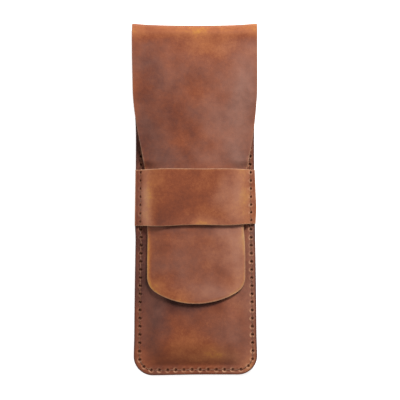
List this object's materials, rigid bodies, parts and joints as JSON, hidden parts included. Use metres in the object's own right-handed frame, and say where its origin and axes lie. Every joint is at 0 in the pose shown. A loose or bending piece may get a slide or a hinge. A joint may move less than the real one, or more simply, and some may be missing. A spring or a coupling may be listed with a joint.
{
  "type": "leather pen case",
  "caption": "Slim stitched leather case, fold-over flap with a rounded tongue that tucks under a sewn band.",
  "frame": {"origin": "middle of the footprint, on the plane the case lies on, back panel down", "axes": "+X across the width, +Y along the length to the folded top end, +Z out of the front of the case"},
  "size_m": [0.06, 0.17, 0.0118],
  "materials": {
    "leather_body": "waxed pull-up leather, matte with scuffs",
    "leather_flap": "waxed pull-up leather, lighter where it bends",
    "leather_band": "waxed pull-up leather, lighter where it bends",
    "thread": "waxed twisted thread"
  },
  "bodies": {
    "case": {"back_panel": "leather_body", "front_panel": "leather_body", "keeper_band": "leather_band", "thread_left": "thread", "thread_bottom": "thread", "thread_right": "thread"},
    "fold_lower": {"fold_lower": "leather_flap"},
    "fold_upper": {"fold_upper": "leather_flap"},
    "stretch_1": {"flap_stretch_1": "leather_flap"},
    "stretch_2": {"flap_stretch_2": "leather_flap"},
    "stretch_3": {"flap_stretch_3": "leather_flap"},
    "stretch_4": {"flap_stretch_4": "leather_flap"},
    "stretch_5": {"flap_stretch_5": "leather_flap"},
    "stretch_6": {"flap_stretch_6": "leather_flap"},
    "stretch_7": {"flap_stretch_7": "leather_flap"},
    "tongue": {"flap_tongue": "leather_flap"}
  },
  "joints": [
    {"name": "fold_start_bend", "type": "hinge", "parent": "case", "child": "fold_lower", "pos_m": [0, 0.08, 0.0008], "axis": [-1, 0, 0], "range_deg": [0, 34.48]},
    {"name": "fold_crown_bend", "type": "hinge", "parent": "fold_lower", "child": "fold_upper", "pos_m": [0, 0.0842, 0.005], "axis": [-1, 0, 0], "range_deg": [0, 36.54]},
    {"name": "fold_end_bend", "type": "hinge", "parent": "fold_upper", "child": "stretch_1", "pos_m": [0, 0.08, 0.0092], "axis": [-1, 0, 0], "range_deg": [0, 66.86]},
    {"name": "flap_bend_1", "type": "hinge", "parent": "stretch_1", "child": "stretch_2", "pos_m": [0, 0.07107, 0.0092], "axis": [1, 0, 0], "range_deg": [0, 40.7]},
    {"name": "flap_bend_2", "type": "hinge", "parent": "stretch_2", "child": "stretch_3", "pos_m": [0, 0.06214, 0.0092], "axis": [1, 0, 0], "range_deg": [0, 63.78]},
    {"name": "flap_bend_3", "type": "hinge", "parent": "stretch_3", "child": "stretch_4", "pos_m": [0, 0.05321, 0.0092], "axis": [1, 0, 0], "range_deg": [0, 16.01]},
    {"name": "flap_bend_4", "type": "hinge", "parent": "stretch_4", "child": "stretch_5", "pos_m": [0, 0.04429, 0.0092], "axis": [1, 0, 0], "range_deg": [0, 68.81]},
    {"name": "flap_bend_5", "type": "hinge", "parent": "stretch_5", "child": "stretch_6", "pos_m": [0, 0.03536, 0.0092], "axis": [1, 0, 0], "range_deg": [0, 97.16]},
    {"name": "flap_bend_6", "type": "hinge", "parent": "stretch_6", "child": "stretch_7", "pos_m": [0, 0.02643, 0.0092], "axis": [-1, 0, 0], "range_deg": [0, 50.76]},
    {"name": "tongue_bend", "type": "hinge", "parent": "stretch_7", "child": "tongue", "pos_m": [0, 0.0175, 0.0092], "axis": [-1, 0, 0], "range_deg": [0, 97.79]}
  ],
  "couplings": [
    {"joint": "fold_start_bend", "follows": "tongue_bend", "ratio": 0.35244},
    {"joint": "fold_crown_bend", "follows": "tongue_bend", "ratio": 0.37341},
    {"joint": "fold_end_bend", "follows": "tongue_bend", "ratio": 0.68352},
    {"joint": "flap_bend_1", "follows": "tongue_bend", "ratio": 0.41601},
    {"joint": "flap_bend_2", "follows": "tongue_bend", "ratio": 0.65199},
    {"joint": "flap_bend_3", "follows": "tongue_bend", "ratio": 0.16348},
    {"joint": "flap_bend_4", "follows": "tongue_bend", "ratio": 0.70348},
    {"joint": "flap_bend_5", "follows": "tongue_bend", "ratio": 0.99332},
    {"joint": "flap_bend_6", "follows": "tongue_bend", "ratio": 0.51892}
  ]
}
